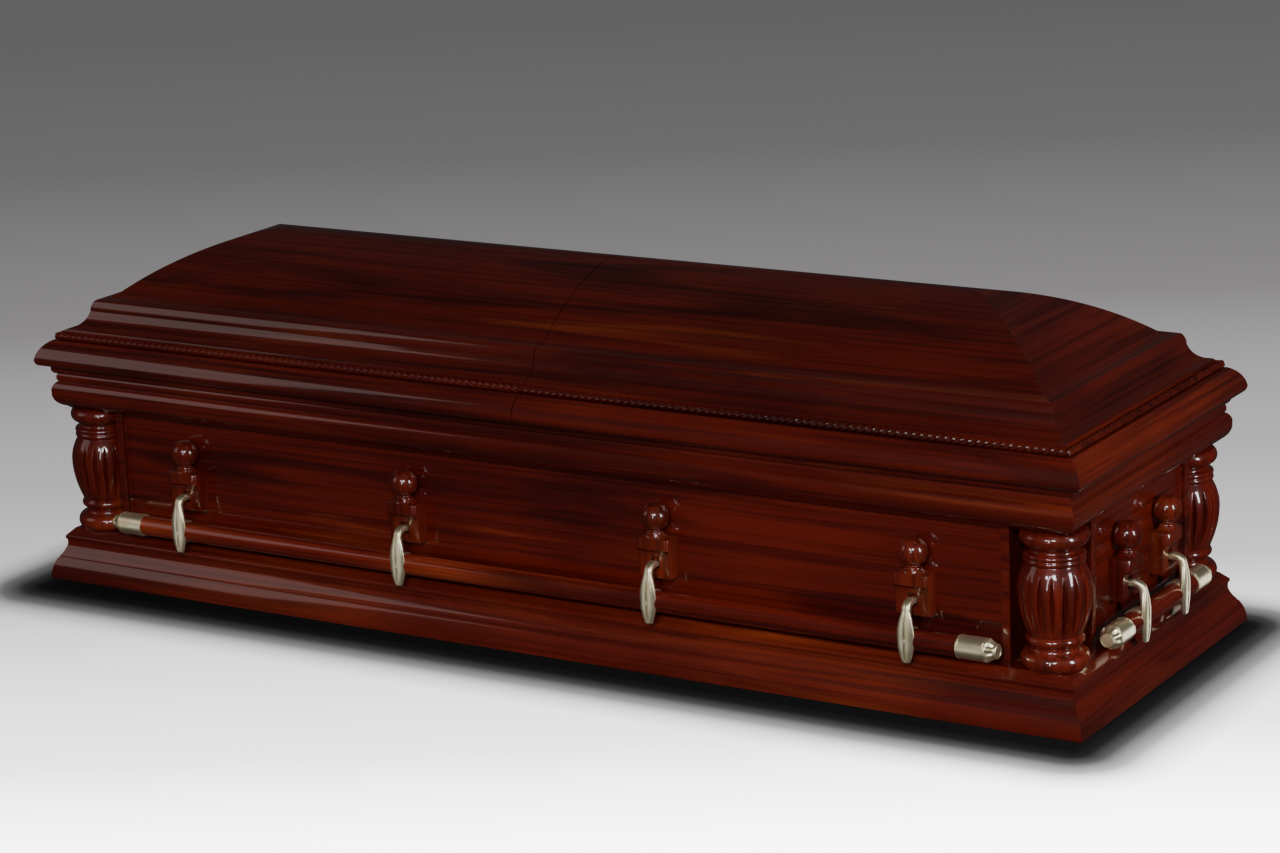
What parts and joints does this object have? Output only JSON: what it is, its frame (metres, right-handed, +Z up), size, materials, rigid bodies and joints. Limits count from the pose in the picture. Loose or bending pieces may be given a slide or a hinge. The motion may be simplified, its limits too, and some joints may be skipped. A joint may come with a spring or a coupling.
{
  "type": "burial casket",
  "caption": "Full-size polished hardwood casket with a split hip-domed lid, stepped mouldings, fluted corner columns and swinging bar handles.",
  "frame": {"origin": "centre of the plan on the underside of the base moulding", "axes": "+X towards the foot end, -X towards the head end, -Y is the front and +Y the hinge side, +Z up"},
  "size_m": [2.1382, 0.6962, 0.64],
  "materials": {
    "mahogany": "high-gloss lacquer over dark mahogany",
    "plain_wood": "plain unpolished board",
    "brass": "brushed pale gold"
  },
  "bodies": {
    "casket_body": {"base_moulding_back": "mahogany", "base_moulding_foot": "mahogany", "base_moulding_front": "mahogany", "base_moulding_head": "mahogany", "bottom_board": "plain_wood", "column_back_foot": "mahogany", "column_back_head": "mahogany", "column_front_foot": "mahogany", "column_front_head": "mahogany", "cornice_frame": "mahogany", "end_panel_foot": "mahogany", "end_panel_head": "mahogany", "hinge_leaf_body_foot": "brass", "hinge_leaf_body_head": "brass", "lug_back_1": "mahogany", "lug_back_2": "mahogany", "lug_back_3": "mahogany", "lug_back_4": "mahogany", "lug_foot_1": "mahogany", "lug_foot_2": "mahogany", "lug_front_1": "mahogany", "lug_front_2": "mahogany", "lug_front_3": "mahogany", "lug_front_4": "mahogany", "lug_head_1": "mahogany", "lug_head_2": "mahogany", "side_panel_back": "mahogany", "side_panel_front": "mahogany"},
    "lid_head_half": {"lid_rim_head": "mahogany", "rope_bead_head": "mahogany", "lid_crown_head": "mahogany", "hinge_leaf_lid_head": "brass"},
    "lid_foot_half": {"lid_rim_foot": "mahogany", "rope_bead_foot": "mahogany", "lid_crown_foot": "mahogany", "hinge_leaf_lid_foot": "brass"},
    "handle_front": {"arm_front_1": "brass", "arm_front_2": "brass", "arm_front_3": "brass", "arm_front_4": "brass", "bar_front": "mahogany", "tip_front_left": "brass", "tip_front_right": "brass"},
    "handle_back": {"arm_back_1": "brass", "arm_back_2": "brass", "arm_back_3": "brass", "arm_back_4": "brass", "bar_back": "mahogany", "tip_back_left": "brass", "tip_back_right": "brass"},
    "handle_foot": {"arm_foot_1": "brass", "arm_foot_2": "brass", "bar_foot": "mahogany", "tip_foot_left": "brass", "tip_foot_right": "brass"},
    "handle_head": {"arm_head_1": "brass", "arm_head_2": "brass", "bar_head": "mahogany", "tip_head_left": "brass", "tip_head_right": "brass"}
  },
  "joints": [
    {"name": "lid_head_hinge", "type": "hinge", "parent": "casket_body", "child": "lid_head_half", "pos_m": [-0.5335, 0.3307, 0.4084], "axis": [-1, 0, 0], "range_deg": [0, 90]},
    {"name": "lid_foot_hinge", "type": "hinge", "parent": "casket_body", "child": "lid_foot_half", "pos_m": [0.5335, 0.3307, 0.4084], "axis": [-1, 0, 0], "range_deg": [0, 90]},
    {"name": "handle_front_swing", "type": "hinge", "parent": "casket_body", "child": "handle_front", "pos_m": [0, -0.3115, 0.188], "axis": [-1, 0, 0], "range_deg": [0, 40]},
    {"name": "handle_back_swing", "type": "hinge", "parent": "casket_body", "child": "handle_back", "pos_m": [0, 0.3115, 0.188], "axis": [1, 0, 0], "range_deg": [0, 40]},
    {"name": "handle_foot_swing", "type": "hinge", "parent": "casket_body", "child": "handle_foot", "pos_m": [1.0325, 0, 0.188], "axis": [0, -1, 0], "range_deg": [0, 40]},
    {"name": "handle_head_swing", "type": "hinge", "parent": "casket_body", "child": "handle_head", "pos_m": [-1.0325, 0, 0.188], "axis": [0, 1, 0], "range_deg": [0, 40]}
  ]
}
